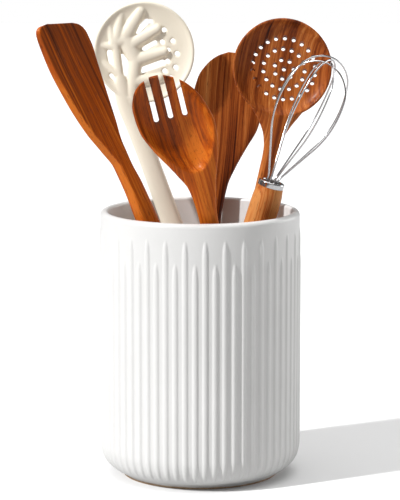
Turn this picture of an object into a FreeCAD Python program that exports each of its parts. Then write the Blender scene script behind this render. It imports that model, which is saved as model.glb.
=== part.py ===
import FreeCAD
import Part
import math
import os

# A ribbed stoneware utensil crock that holds six kitchen tools.
# The origin is the centre of the crock's foot on the table, +Z is up and the front looks along -Y.
# Each tool is made upright in its own frame, with its butt at zero, its face towards -Y and its
# handle along +Z. It is then leaned in the crock, from a foot point to a point at the mouth.
# Lengths are in millimetres. A name that ends in share or shares is a part of a named size.

Vector = FreeCAD.Vector

# Clearances
overrun = 4.0
seat_clearance = 0.3
socket_clearance = 0.1

# Crock
crock_radius = 64.2
crock_height = 172.0
crock_wall = 5.2
crock_base = 5.8
crock_corner_width = 16.0
crock_corner_height = 19.0
crock_inner_corner = 8.0
lip_outer_share = 0.56
lip_inner_share = 0.36
foot_radius = 50.4
foot_width = 6.0
foot_height = 2.2

# Ribs up the crock's wall, long and short in turn
rib_pairs = 32
rib_width = 4.0
rib_crest = 1.5
rib_height = 0.8
rib_root = 1.0
rib_long_drop = 18.8
rib_short_drop = 33.3
rib_tip = 9.0
rib_tip_sink_share = 1.25
rib_foot_sink_share = 1.9
rib_first_angle = -87.1

# Where each tool stands on the floor and leans at the mouth, as shares of the mouth's radius
spatula_foot_shares = (0.586, -0.419)
spatula_lean_shares = (-0.575, -0.598)
server_foot_shares = (0.598, 0.458)
server_lean_shares = (-0.400, 0.568)
spork_foot_shares = (0.703, -0.027)
spork_lean_shares = (0.081, -0.851)
paddle_foot_shares = (-0.139, 0.720)
paddle_lean_shares = (0.188, 0.844)
skimmer_foot_shares = (0.146, 0.214)
skimmer_lean_shares = (0.632, 0.247)
whisk_foot_shares = (-0.139, 0.010)
whisk_lean_shares = (0.678, -0.164)

# How far each tool is turned about its own handle, in degrees
spatula_roll = 36.0
level_roll = 0.0

# Points round each section, chords in rounded corners, and sides of turned forms
section_points = 12
corner_steps = 3
edge_steps = 2
dish_sides = 28
hole_sides = 6
whisk_sides = 16
slot_end_steps = 3

# Spatula: a flat turner whose blade flares to one side and ends on a slant
spatula_length = 309.5
spatula_blade = 36.0
spatula_thickness = 9.0
spatula_slant = 0.34
spatula_powers = (2.6, 5.0)
# along the length, left, right, thickness, slant, from handle section to blade section
spatula_shares = (
    (0.000, 0.100, 0.100, 0.35, 0.0, 0.0),
    (0.008, 0.160, 0.160, 0.72, 0.0, 0.0),
    (0.024, 0.195, 0.195, 0.95, 0.0, 0.0),
    (0.200, 0.200, 0.200, 1.00, 0.0, 0.0),
    (0.400, 0.200, 0.200, 1.00, 0.0, 0.0),
    (0.560, 0.192, 0.195, 1.00, 0.0, 0.0),
    (0.640, 0.155, 0.175, 0.94, 0.0, 0.1),
    (0.690, 0.165, 0.130, 0.84, 0.0, 0.3),
    (0.730, 0.275, 0.130, 0.72, 0.1, 0.6),
    (0.780, 0.430, 0.190, 0.62, 0.3, 0.9),
    (0.850, 0.555, 0.265, 0.52, 0.6, 1.0),
    (0.915, 0.610, 0.335, 0.44, 0.9, 1.0),
    (0.962, 0.600, 0.385, 0.36, 1.0, 1.0),
    (0.990, 0.555, 0.370, 0.29, 1.0, 1.0),
    (1.000, 0.440, 0.290, 0.22, 1.0, 1.0),
)

# Paddle: a flat stirrer with a broad oval head
paddle_length = 262.0
paddle_head = 48.0
paddle_thickness = 8.5
paddle_powers = (2.4, 4.5)
# along the length, half width, thickness, from handle section to head section
paddle_shares = (
    (0.000, 0.045, 0.40, 0.0),
    (0.010, 0.090, 0.78, 0.0),
    (0.030, 0.112, 0.98, 0.0),
    (0.250, 0.110, 1.00, 0.0),
    (0.480, 0.090, 1.00, 0.0),
    (0.580, 0.092, 0.98, 0.1),
    (0.665, 0.130, 0.92, 0.3),
    (0.715, 0.215, 0.86, 0.6),
    (0.765, 0.330, 0.80, 0.9),
    (0.820, 0.458, 0.74, 1.0),
    (0.880, 0.500, 0.66, 1.0),
    (0.930, 0.460, 0.56, 1.0),
    (0.966, 0.350, 0.48, 1.0),
    (0.988, 0.220, 0.42, 1.0),
    (1.000, 0.080, 0.36, 1.0),
)

# Spork: a scooped oval head with slots open at its tip
spork_length = 275.0
spork_head = 47.0
spork_thickness = 9.0
spork_depth = 11.5
spork_bend = 11.0
spork_power = 2.3
spork_scoop = 11.0
spork_scoop_power = 3.0
# along the length, half width, front, back, bend, scoop
spork_shares = (
    (0.000, 0.040, 0.40, 0.16, 0.00, 0.00),
    (0.010, 0.090, 0.78, 0.31, 0.00, 0.00),
    (0.030, 0.122, 0.98, 0.39, 0.00, 0.00),
    (0.250, 0.126, 1.00, 0.39, 0.00, 0.00),
    (0.500, 0.118, 1.00, 0.39, 0.00, 0.00),
    (0.640, 0.128, 0.96, 0.40, -0.08, 0.00),
    (0.720, 0.190, 0.84, 0.46, -0.16, 0.00),
    (0.775, 0.312, 0.70, 0.66, -0.02, 0.36),
    (0.825, 0.432, 0.62, 0.90, 0.20, 0.82),
    (0.880, 0.500, 0.58, 1.00, 0.46, 1.00),
    (0.930, 0.468, 0.52, 0.86, 0.70, 0.80),
    (0.968, 0.370, 0.44, 0.60, 0.88, 0.44),
    (0.990, 0.240, 0.34, 0.42, 0.98, 0.24),
    (1.000, 0.120, 0.26, 0.34, 1.00, 0.10),
)
spork_slot_bend_share = 0.70
spork_slot_width = 3.2
spork_slot_pitch = 9.0
spork_slot_length = 31.0
spork_slot_count = 3

# Round dishes: the reach and the depth of the hollow, from its side in to its flat floor
dish_shares = ((0.90, 0.60), (0.76, 1.00))
dish_edge_share = 0.3

# Skimmer: a round shallow dish, drilled through in rings
skimmer_length = 289.2
skimmer_radius = 32.0
skimmer_edge = 3.2
skimmer_depth = 6.5
skimmer_floor = 3.4
skimmer_handle = 11.0
skimmer_thickness = 8.5
skimmer_bow = 2.3
skimmer_powers = (2.3, 2.6)
# up to the dish's centre, half width of the handle, thickness, bow, handle to neck section
skimmer_shares = (
    (0.000, 0.24, 0.40, 0.0, 0.0),
    (0.010, 0.42, 0.78, 0.0, 0.0),
    (0.032, 0.53, 0.98, 0.0, 0.0),
    (0.250, 0.52, 1.00, 0.0, 0.0),
    (0.500, 0.47, 1.00, 0.0, 0.0),
    (0.650, 0.44, 1.00, 0.3, 0.1),
    (0.735, 0.43, 0.98, 0.7, 0.3),
    (0.790, 0.46, 0.94, 1.0, 0.6),
    (0.824, 0.62, 0.88, 1.0, 0.9),
    (0.855, 0.95, 0.84, 0.8, 1.0),
    (0.888, 1.48, 0.80, 0.4, 1.0),
    (0.925, 2.00, 0.74, 0.0, 1.0),
    (0.960, 2.20, 0.60, 0.0, 1.0),
)
skimmer_hole = 2.5
skimmer_ring_radii = (6.6, 14.0, 21.2)
skimmer_hole_pitch = 6.0

# Server: a moulded round dish on a long oval handle, with a branching spine
server_bend_height = 245.5
server_length = 284.0
server_handle = 14.0
server_thickness = 9.5
server_side = 10.0
server_power = 2.2
# along the spine, half width, thickness, sideways
server_shares = (
    (0.000, 0.22, 0.45, 0.00),
    (0.010, 0.38, 0.80, 0.00),
    (0.030, 0.49, 0.98, 0.00),
    (0.250, 0.50, 1.00, 0.00),
    (0.500, 0.50, 1.00, 0.00),
    (0.700, 0.47, 0.95, 0.00),
    (0.800, 0.44, 0.90, -0.10),
    (0.850, 0.42, 0.84, -0.18),
    (0.890, 0.39, 0.74, -0.06),
    (0.930, 0.32, 0.62, 0.28),
    (0.965, 0.25, 0.54, 0.62),
    (1.000, 0.20, 0.46, 0.96),
)
server_radius = 33.0
server_centre_shares = (0.64, 0.74)
server_turn = 19.0
server_edge = 3.0
server_depth = 4.6
server_floor = 2.4
server_rib = 1.6
server_arm = 3.4
server_star_shares = (-0.47, 0.27)
server_arm_angles = (92.0, 118.0, 142.0, 168.0)
server_arm_reach_share = 0.93
server_slot = 4.2
server_slot_shares = (((-0.06, 0.05), (0.24, 0.33)), ((-0.08, -0.36), (0.34, -0.06)))
server_window = 5.0
server_window_shares = (((-0.67, 0.02), (-0.60, -0.50)), ((-0.33, -0.06), (-0.42, -0.52)))
server_hole = 2.4
server_hole_step = 28.0
# reach from the centre, and then the first turn and the count of each arc of holes
server_hole_reach_shares = (0.50, 0.70)
server_hole_turns = ((-52.0, 4), (-38.0, 5))

# Whisk: a turned handle, a steel cap, a plug that grips the wires and four wire loops
whisk_handle_length = 187.0
whisk_handle_radius = 9.7
# along the handle, radius
whisk_shares = (
    (0.000, 0.42),
    (0.008, 0.68),
    (0.025, 0.82),
    (0.250, 0.86),
    (0.500, 0.93),
    (0.750, 0.98),
    (0.880, 1.00),
    (0.960, 0.97),
)
whisk_spigot_radius = 6.9
whisk_spigot_length = 2.4
cap_radius = 8.4
cap_height = 3.6
cap_skin = 0.7
cap_chamfer = 0.8
plug_radius = 5.6
plug_length = 16.0
wire_radius = 0.6
wire_loops = 4
wire_sides = 6
wire_step = 16.0
wire_gap = 0.35
wire_ring = 3.7
wire_socket = 5.0
wire_bend_radius = 12.0
wire_side_radius = 62.0
balloon_width = 43.0
balloon_length = 88.0
balloon_belly_share = 0.63
whisk_bend = 9.0
whisk_first_loop = 20.0

# Sizes that follow from the ones above
mouth_radius = crock_radius - crock_wall
floor_top = foot_height + crock_base
lip_outer = crock_wall * lip_outer_share
lip_inner = crock_wall * lip_inner_share
corner_top = foot_height + crock_corner_height
skimmer_centre = skimmer_length - skimmer_radius

UP = Vector(0, 0, 1)
ACROSS = Vector(1, 0, 0)
DEEP = Vector(0, 1, 0)
ORIGIN = Vector(0, 0, 0)


def quarter(start, corner, end, steps):
    # The points of a rounded corner, on a quarter of an oval.
    points = []
    for step in range(steps + 1):
        angle = math.pi / 2 * step / steps
        rise = (corner - start) * math.sin(angle)
        points.append(start + rise + (end - corner) * (1 - math.cos(angle)))
    return points


def outlined(points):
    return Part.Face(Part.makePolygon(points + [points[0]]))


def turned(points, axis):
    return outlined(points).revolve(ORIGIN, axis, 360)


def at(radius, height):
    return Vector(radius, 0, height)


def between(first, last, share):
    return first + (last - first) * share


def cylinder(radius, length, base, direction):
    return Part.makeCylinder(radius, length, base, direction)


def section(x, y, z, left, right, front, back, power, slant=0, scoop=0):
    # A closed rounded section across the handle, between an oval and a soft rectangle.
    # A scoop hollows its front.
    points = []
    for step in range(section_points):
        angle = 2 * math.pi * step / section_points
        c = math.cos(angle)
        s = math.sin(angle)
        wide = right if c > 0 else left
        deep = back if s > 0 else front
        across = x + math.copysign(abs(c) ** (2 / power) * wide, c)
        through = y + math.copysign(abs(s) ** (2 / power) * deep, s)
        if s < 0:
            through = through + scoop * abs(s) ** spork_scoop_power
        points.append(Vector(across, through, z - slant * across))
    return points


def facetted(sections):
    # A solid with flat facets between sections, split along the shorter way across.
    faces = [outlined(sections[0]), outlined(sections[-1])]
    for lower, upper in zip(sections, sections[1:]):
        for index in range(len(lower)):
            a = lower[index - 1]
            b = lower[index]
            c = upper[index - 1]
            d = upper[index]
            if (d - a).Length < (c - b).Length:
                faces += [outlined([a, b, d]), outlined([a, d, c])]
            else:
                faces += [outlined([a, b, c]), outlined([b, d, c])]
    return Part.Solid(Part.Shell(faces))


def ruled(sections):
    # A solid with straight faces between sections.
    return Part.makeLoft([Part.makePolygon(points + [points[0]]) for points in sections], True, True)


def stadium(start, end, width, depth):
    # A slot's prism in the XZ plane, from -depth to +depth in Y, round at both ends.
    along = (end - start).normalize()
    side = at(-along.z, along.x)
    points = []
    for place, way in ((start, -along), (end, along)):
        flank = side if place is start else -side
        for step in range(slot_end_steps + 1):
            angle = math.pi * step / slot_end_steps
            nose = flank * math.cos(angle) + way * math.sin(angle)
            points.append(place + nose * (width / 2) - DEEP * depth)
    return outlined(points).extrude(DEEP * (2 * depth))


def crock_corner():
    start = at(crock_radius - crock_corner_width, foot_height)
    return quarter(start, at(crock_radius, foot_height), at(crock_radius, corner_top), corner_steps)


def make_crock():
    inner_floor = mouth_radius - crock_inner_corner
    points = [
        at(0, foot_height),
        *crock_corner(),
        *quarter(
            at(crock_radius, crock_height - lip_outer),
            at(crock_radius, crock_height),
            at(crock_radius - lip_outer, crock_height),
            edge_steps,
        ),
        *quarter(
            at(mouth_radius + lip_inner, crock_height),
            at(mouth_radius, crock_height),
            at(mouth_radius, crock_height - lip_inner),
            edge_steps,
        ),
        *quarter(
            at(mouth_radius, floor_top + crock_inner_corner),
            at(mouth_radius, floor_top),
            at(inner_floor, floor_top),
            edge_steps,
        ),
        at(0, floor_top),
    ]
    body = turned(points, UP)
    ring_top = foot_height + crock_base / 2
    ring = cylinder(foot_radius, ring_top, ORIGIN, UP)
    ring = ring.cut(cylinder(foot_radius - foot_width, foot_height, ORIGIN, UP))
    return body.fuse([ring] + make_ribs())


def make_rib(drop):
    # A low bead with sloping flanks that follows the wall and the lower corner, and sinks into
    # them at its pointed top and at its foot.
    top = crock_height - drop
    flank = (rib_width - rib_crest) / 2 / rib_height
    root_half = rib_width / 2 + flank * rib_root
    corner = crock_corner()
    slope = corner[-1] - corner[-3]
    last_slope = corner[-2] - corner[-4]
    places = (
        (corner[-3], at(last_slope.z, -last_slope.x).normalize(), rib_foot_sink_share),
        (corner[-2], at(slope.z, -slope.x).normalize(), 0),
        (corner[-1], ACROSS, 0),
        (at(crock_radius, top), ACROSS, 0),
        (at(crock_radius, top + rib_tip), ACROSS, rib_tip_sink_share),
    )
    sections = []
    for place, outward, sink in places:
        root = place - outward * (rib_root + rib_height * sink)
        crest = place + outward * (rib_height * (1 - sink))
        points = [
            root - DEEP * root_half,
            crest - DEEP * (rib_crest / 2),
            crest + DEEP * (rib_crest / 2),
            root + DEEP * root_half,
        ]
        sections.append(points)
    return ruled(sections)


def make_ribs():
    pitch = 180 / rib_pairs
    ribs = []
    for index in range(2 * rib_pairs):
        rib = make_rib(rib_long_drop if index % 2 == 0 else rib_short_drop)
        rib.rotate(ORIGIN, UP, rib_first_angle + pitch * index)
        ribs.append(rib)
    return ribs


def make_spatula():
    sections = []
    for along, left, right, thick, slant, blade in spatula_shares:
        half = spatula_thickness * thick / 2
        power = between(*spatula_powers, blade)
        sections.append(
            section(
                0,
                0,
                spatula_length * along,
                spatula_blade * left,
                spatula_blade * right,
                half,
                half,
                power,
                spatula_slant * slant,
            )
        )
    return facetted(sections)


def make_paddle():
    sections = []
    for along, wide, thick, head in paddle_shares:
        half = paddle_thickness * thick / 2
        reach = paddle_head * wide
        power = between(*paddle_powers, head)
        sections.append(section(0, 0, paddle_length * along, reach, reach, half, half, power))
    return facetted(sections)


def make_spork():
    sections = []
    for along, wide, front, back, bend, scoop in spork_shares:
        reach = spork_head * wide
        sections.append(
            section(
                -spork_bend * bend,
                0,
                spork_length * along,
                reach,
                reach,
                spork_thickness * front / 2,
                spork_depth * back,
                spork_power,
                scoop=spork_scoop * scoop,
            )
        )
    body = facetted(sections)
    slots = []
    middle = (spork_slot_count - 1) / 2
    slot_end = spork_length - spork_slot_length
    for index in range(spork_slot_count):
        x = (index - middle) * spork_slot_pitch - spork_bend * spork_slot_bend_share
        start = Vector(x, 0, slot_end)
        end = Vector(x, 0, spork_length + overrun)
        slots.append(stadium(start, end, spork_slot_width, spork_depth + overrun))
    return body.cut(slots)


def ring(radius, sides, place, axis):
    # The corners of a many-sided ring about a place, across the Y axis or the Z axis.
    points = []
    for index in range(sides):
        angle = 2 * math.pi * (index + 0.5) / sides
        across = ACROSS * math.cos(angle) + axis.cross(ACROSS) * math.sin(angle)
        points.append(place + across * radius)
    return points


def stacked(rows, sides, axis):
    # A many-sided turned form through rows of a radius and a place along its axis.
    return ruled([ring(radius, sides, axis * along, axis) for radius, along in rows])


def dish(radius, edge, depth, floor):
    # A round dish about its own Y axis: its solid outer form, and the hollow in its front.
    rim = radius - edge * dish_edge_share
    outer = [(rim, 0), (radius, edge * dish_edge_share), (radius, edge * (1 - dish_edge_share)), (rim, edge)]
    hollow = [(rim, -overrun), (rim, 0)]
    for reach, deep in dish_shares:
        outer.append((radius * reach, depth * deep + floor))
        hollow.append((radius * reach, depth * deep))
    return stacked(outer, dish_sides, DEEP), stacked(hollow, dish_sides, DEEP)


def drill(width, place, depth):
    # A hole's prism along Y, from -depth to +depth about its place.
    return outlined(ring(width / 2, hole_sides, place - DEEP * depth, DEEP)).extrude(DEEP * (2 * depth))


def make_skimmer():
    sections = []
    for along, wide, thick, bow, neck in skimmer_shares:
        deep = skimmer_thickness * thick
        power = between(*skimmer_powers, neck)
        reach = skimmer_handle * wide
        z = skimmer_centre * along
        sections.append(section(skimmer_bow * bow, deep / 2, z, reach, reach, deep / 2, deep / 2, power))
    handle = facetted(sections)
    outer, hollow = dish(skimmer_radius, skimmer_edge, skimmer_depth, skimmer_floor)
    for piece in (outer, hollow):
        piece.translate(UP * skimmer_centre)
    drills = []
    through = skimmer_depth + skimmer_floor + overrun
    for ring in (0,) + skimmer_ring_radii:
        count = max(1, round(2 * math.pi * ring / skimmer_hole_pitch))
        for index in range(count):
            angle = 2 * math.pi * (index + 0.5) / count
            place = Vector(ring * math.sin(angle), 0, skimmer_centre + ring * math.cos(angle))
            drills.append(drill(skimmer_hole, place, through))
    return outer.fuse(handle).cut([hollow] + drills)


def make_server():
    sections = []
    for along, wide, thick, side in server_shares:
        half = server_thickness * thick / 2
        reach = server_handle * wide
        x = server_side * side
        z = server_length * along
        sections.append(section(x, half, z, reach, reach, half, half, server_power))
    spine = facetted(sections)
    outer, hollow = dish(server_radius, server_edge, server_depth, server_floor)
    raised = dish(server_radius, server_edge, server_depth - server_rib, server_floor + server_rib)[1]
    through = server_depth + server_floor + overrun

    def on_head(shares):
        return Vector(server_radius * shares[0], 0, server_radius * shares[1])

    star = on_head(server_star_shares)
    arms = []
    for angle in server_arm_angles:
        tip = Vector(math.cos(math.radians(angle)), 0, math.sin(math.radians(angle)))
        tip = tip * (server_radius * server_arm_reach_share)
        arms.append(stadium(star, tip, server_arm, through))
    cuts = []
    for start, end in server_slot_shares:
        cuts.append(stadium(on_head(start), on_head(end), server_slot, through))
    for start, end in server_window_shares:
        cuts.append(stadium(on_head(start), on_head(end), server_window, through))
    for reach, (first, count) in zip(server_hole_reach_shares, server_hole_turns):
        for index in range(count):
            angle = math.radians(first + server_hole_step * index)
            place = Vector(math.cos(angle), 0, math.sin(angle)) * (server_radius * reach)
            cuts.append(drill(server_hole, place, through))
    plate = outer.cut(hollow)
    ribs = outer.cut(raised).common(arms[0].fuse(arms[1:]))
    head = plate.cut(cuts).fuse(ribs)
    head.rotate(ORIGIN, DEEP, server_turn)
    centre_x, centre_z = server_centre_shares
    head.translate(Vector(server_radius * centre_x, 0, server_bend_height + server_radius * centre_z))
    return head.fuse(spine)


def make_whisk():
    pieces = {}
    top = whisk_handle_length
    spigot_top = top + whisk_spigot_length
    cap_top = top + cap_height
    roof = cap_top - cap_skin
    plug_bottom = cap_top - plug_length
    bore = plug_radius + socket_clearance
    inner = whisk_spigot_radius + socket_clearance
    rows = [(whisk_handle_radius * share, top * along) for along, share in whisk_shares]
    handle = stacked(rows + [(cap_radius, top)], whisk_sides, UP)
    spigot = stacked([(whisk_spigot_radius, top / 2), (whisk_spigot_radius, spigot_top)], whisk_sides, UP)
    bored = stacked([(bore, plug_bottom), (bore, cap_top + overrun)], whisk_sides, UP)
    handle = handle.fuse(spigot).cut(bored)
    cap = stacked(
        [(cap_radius, top), (cap_radius, cap_top - cap_chamfer), (cap_radius - cap_chamfer, cap_top)],
        whisk_sides,
        UP,
    )
    cap = cap.cut(stacked([(inner, top - overrun), (inner, roof)], whisk_sides, UP)).cut(bored)
    plug = stacked([(plug_radius, plug_bottom), (plug_radius, cap_top)], whisk_sides, UP)
    crown = at(0, cap_top)
    sockets = []
    for loop in range(wire_loops):
        turn = whisk_first_loop + 180 * loop / wire_loops
        wire = make_wire(loop)
        for side in (-1, 1):
            mouth = wire_ring_at(at(side * wire_ring, -wire_socket), ACROSS, wire_radius + socket_clearance)
            socket = outlined(mouth).extrude(UP * (wire_socket + overrun))
            sockets.append(stand(socket, turn, crown))
        pieces["whisk_wire_%d" % (loop + 1)] = stand(wire, turn, crown)
    pieces["whisk_handle"] = handle
    pieces["whisk_ferrule"] = cap
    pieces["whisk_plug"] = plug.cut(sockets)
    return pieces


def stand(piece, turn, crown):
    # Put a piece of the wire balloon on the cap's crown, turned about the balloon and bent aside.
    piece.rotate(ORIGIN, UP, turn)
    piece.rotate(ORIGIN, DEEP, whisk_bend)
    piece.translate(crown)
    return piece


def make_wire(loop):
    # One loop in the XZ plane: up from its socket, out, round the belly and over the top.
    tall = balloon_length - loop * (2 * wire_radius + wire_gap)
    wide = balloon_width / 2
    belly = balloon_length * balloon_belly_share
    side = Vector(wide - wire_side_radius, 0, belly)
    rise = tall - belly
    top_radius = wire_side_radius**2 - side.x**2 - rise**2
    top_radius = top_radius / (2 * (wire_side_radius - rise))
    top = Vector(0, 0, tall - top_radius)
    bend = Vector(wire_ring + wire_bend_radius, 0, 0)
    gap = side - bend
    lean = math.atan2(gap.z, gap.x) - math.asin((wire_side_radius + wire_bend_radius) / gap.Length)
    lean_turn = 90 - math.degrees(lean)
    meet = (top - side).normalize()
    top_turn = math.degrees(math.atan2(meet.z, meet.x))
    path = [(at(wire_ring, -wire_socket), ACROSS)]
    path += stations(bend, -wire_bend_radius, 0, -lean_turn)
    path += stations(side, wire_side_radius, -lean_turn, top_turn)[:-1]
    path += stations(top, top_radius, top_turn, 90)
    for centre, outward in reversed(path[:-1]):
        path.append((at(-centre.x, centre.z), at(-outward.x, outward.z)))
    return ruled([wire_ring_at(centre, outward, wire_radius) for centre, outward in path])


def wire_ring_at(centre, outward, radius):
    points = []
    for index in range(wire_sides):
        angle = 2 * math.pi * (index + 0.5) / wire_sides
        points.append(centre + (outward * math.cos(angle) + DEEP * math.sin(angle)) * radius)
    return points


def stations(pivot, radius, first, last):
    # Places along an arc in the XZ plane, each with its direction away from the loop.
    steps = math.ceil(abs(last - first) / wire_step)
    places = []
    for step in range(steps + 1):
        angle = math.radians(between(first, last, step / steps))
        outward = at(math.cos(angle), math.sin(angle))
        places.append((pivot + outward * radius, outward))
    return places


def leaning(foot_shares, lean_shares, roll):
    # The place of a tool whose handle runs from its foot point to its point at the mouth.
    foot = Vector(foot_shares[0] * mouth_radius, foot_shares[1] * mouth_radius, floor_top)
    lean = Vector(lean_shares[0] * mouth_radius, lean_shares[1] * mouth_radius, crock_height)
    axis = (lean - foot).normalize()
    face = (axis * axis.y - DEEP).normalize()
    side = axis.cross(face)
    turn = math.radians(roll)
    front = face * math.cos(turn) + side * math.sin(turn)
    across = side * math.cos(turn) - face * math.sin(turn)
    place = FreeCAD.Matrix(
        across.x, -front.x, axis.x, foot.x,
        across.y, -front.y, axis.y, foot.y,
        across.z, -front.z, axis.z, foot.z,
        0, 0, 0, 1,
    )
    return FreeCAD.Placement(place), axis


def stood(pieces, butt, foot_shares, lean_shares, roll):
    # Lean a tool in the crock and slide it along its handle until its butt meets the floor.
    place, axis = leaning(foot_shares, lean_shares, roll)
    for piece in pieces.values():
        piece.Placement = place.multiply(piece.Placement)
    lowest = pieces[butt].optimalBoundingBox().ZMin
    slide = axis * ((floor_top + seat_clearance - lowest) / axis.z)
    for piece in pieces.values():
        piece.translate(slide)
    return pieces


def build():
    nodes = {"crock": make_crock()}
    tools = (
        ("spatula", make_spatula(), spatula_foot_shares, spatula_lean_shares, spatula_roll),
        ("server", make_server(), server_foot_shares, server_lean_shares, level_roll),
        ("spork", make_spork(), spork_foot_shares, spork_lean_shares, level_roll),
        ("paddle", make_paddle(), paddle_foot_shares, paddle_lean_shares, level_roll),
        ("skimmer", make_skimmer(), skimmer_foot_shares, skimmer_lean_shares, level_roll),
    )
    for name, shape, foot, lean, roll in tools:
        nodes.update(stood({name: shape}, name, foot, lean, roll))
    whisk = make_whisk()
    nodes.update(stood(whisk, "whisk_handle", whisk_foot_shares, whisk_lean_shares, level_roll))
    return nodes


os.makedirs("parts", exist_ok=True)
for node, shape in build().items():
    solids = shape.Solids
    print(node, len(solids), shape.isValid(), round(shape.Volume, 1))
    solids[0].exportStep("parts/%s.step" % node)
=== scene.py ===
import bmesh
import bpy
import math
import numpy as np
from mathutils import Matrix, Vector


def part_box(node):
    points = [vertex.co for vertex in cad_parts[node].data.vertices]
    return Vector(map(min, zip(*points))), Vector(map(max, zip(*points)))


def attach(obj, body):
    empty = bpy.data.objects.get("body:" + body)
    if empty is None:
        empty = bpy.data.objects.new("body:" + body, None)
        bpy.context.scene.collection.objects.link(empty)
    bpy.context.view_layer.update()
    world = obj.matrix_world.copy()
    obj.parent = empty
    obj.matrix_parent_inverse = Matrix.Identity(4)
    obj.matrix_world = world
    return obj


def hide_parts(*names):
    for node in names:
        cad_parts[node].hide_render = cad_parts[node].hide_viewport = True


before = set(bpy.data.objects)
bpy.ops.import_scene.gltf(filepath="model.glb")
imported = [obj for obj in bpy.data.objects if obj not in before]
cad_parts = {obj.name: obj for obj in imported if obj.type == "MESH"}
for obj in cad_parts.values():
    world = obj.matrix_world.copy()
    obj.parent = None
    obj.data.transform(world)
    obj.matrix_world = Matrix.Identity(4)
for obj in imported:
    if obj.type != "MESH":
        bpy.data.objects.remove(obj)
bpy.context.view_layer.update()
print("frame loaded")

# Lengths are given in millimetres and become metres at the meshes; materials and lights use metres.
mm = 0.001

across = np.array([1.0, 0.0, 0.0])
deep = np.array([0.0, 1.0, 0.0])
up = np.array([0.0, 0.0, 1.0])


def sums(operation):
    # An operator on flows, and its reflected form.
    def forward(self, other):
        return self.maths(operation, self, other)

    def reflected(self, other):
        return self.maths(operation, other, self)

    return forward, reflected


class Flow:
    # A socket in a node tree that takes part in sums.
    def __init__(self, tree, socket):
        self.tree = tree
        self.socket = socket

    def make(self, kind, inputs=None, settings=None, output=0):
        # Add a node; each input takes a value, a flow or a list of flows.
        node = self.tree.nodes.new(kind)
        for key, value in (settings or {}).items():
            setattr(node, key, value)
        for key, value in (inputs or {}).items():
            if isinstance(value, (Flow, list)):
                for flow in value if isinstance(value, list) else [value]:
                    self.tree.links.new(flow.socket, node.inputs[key])
            else:
                node.inputs[key].default_value = value
        return Flow(self.tree, node.outputs[output])

    def maths(self, operation, first, second=0.0):
        return self.make("ShaderNodeMath", {0: first, 1: second}, {"operation": operation})

    __add__, __radd__ = sums("ADD")
    __sub__, __rsub__ = sums("SUBTRACT")
    __mul__, __rmul__ = sums("MULTIPLY")
    __truediv__, __rtruediv__ = sums("DIVIDE")

    def most(self, other):
        return self.maths("MAXIMUM", self, other)

    def clamped(self):
        return self.maths("MINIMUM", self.most(0.0), 1.0)

    def eased(self, low, high):
        t = ((self - low) / (high - low)).clamped()
        return t * t * (3.0 - 2.0 * t)

    def parts(self):
        first = self.make("ShaderNodeSeparateXYZ", {0: self})
        return [Flow(self.tree, socket) for socket in first.socket.node.outputs]

    def joined(self, x, y, z):
        return self.make("ShaderNodeCombineXYZ", {0: x, 1: y, 2: z})

    def noise(self, scale, detail, rough=0.5, twist=0.0):
        return self.make("ShaderNodeTexNoise", {
            "Vector": self, "Scale": scale, "Detail": detail, "Roughness": rough, "Distortion": twist})

    def ramp(self, stops):
        result = self.make("ShaderNodeValToRGB", {"Fac": self})
        band = result.socket.node.color_ramp
        while len(band.elements) < len(stops):
            band.elements.new(0.5)
        for element, (place, colour) in zip(band.elements, stops):
            element.position = place
            element.color = (*colour, 1.0)
        return result

    def mixed(self, first, second):
        return self.make("ShaderNodeMix", {0: self, 6: first, 7: second}, {"data_type": "RGBA"}, 2)

    def bump(self, strength, distance):
        return self.make("ShaderNodeBump", {"Height": self, "Strength": strength, "Distance": distance})


def newMaterial(name, shine):
    # A material with one shader, its constants set, and the flow of its object coordinates.
    material = bpy.data.materials.new(name)
    material.use_nodes = True
    tree = material.node_tree
    shader = tree.nodes["Principled BSDF"]
    for key, value in shine.items():
        shader.inputs[key].default_value = value
    place = tree.nodes.new("ShaderNodeTexCoord")
    return material, shader, Flow(tree, place.outputs["Object"])


def feed(flow, shader, name):
    flow.tree.links.new(flow.socket, shader.inputs[name])


noiseMean = 0.5

# Each layer of grain has its rates across, through and along the tool, which of the three the tool's
# own shift moves, and the noise's detail, roughness and twist.
wood = {
    "shine": {"Specular IOR Level": 0.11, "Coat Roughness": 0.22},
    "wander": ((9.0, 9.0, 6.0), (1, 0, 0), (2.0, 0.5, 0.0)),
    "broad": ((120.0, 30.0, 4.0), (1, 0, 1), (3.0, 0.55, 0.5)),
    "streak": ((430.0, 90.0, 7.0), (0, 1, 0), (3.0, 0.6, 0.4)),
    "line": ((1250.0, 300.0, 13.0), (1, 0, 0), (2.0, 0.6, 0.0)),
    "pore": ((2100.0, 1300.0, 170.0), (0, 0, 1), (2.0, 0.6, 0.0)),
    "weights": (1.5, 1.25, 0.75),  # broad, streak and line in the tone
    "poreEdges": (0.57, 0.72),
    "poreShare": 0.5,
    "poreColour": (0.030, 0.008, 0.003, 1.0),
    "dull": (0.30, 0.2, 0.12),  # all over, more in streaks, more in pores
    "coat": (0.06, 0.05),  # all over, less in pores
    "relief": (0.6, 0.7),  # lines stand up, pores lie deep
    "bump": (0.3, 0.0005),
}

# Wood colours, from a dark streak to pale ground
reddish = [
    (0.00, (0.018, 0.004, 0.002)),
    (0.28, (0.092, 0.020, 0.006)),
    (0.52, (0.255, 0.052, 0.008)),
    (0.78, (0.450, 0.082, 0.005)),
    (1.00, (0.620, 0.155, 0.014)),
]
golden = [
    (0.00, (0.018, 0.004, 0.002)),
    (0.28, (0.090, 0.016, 0.004)),
    (0.52, (0.260, 0.055, 0.009)),
    (0.78, (0.470, 0.130, 0.025)),
    (1.00, (0.640, 0.260, 0.075)),
]


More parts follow.
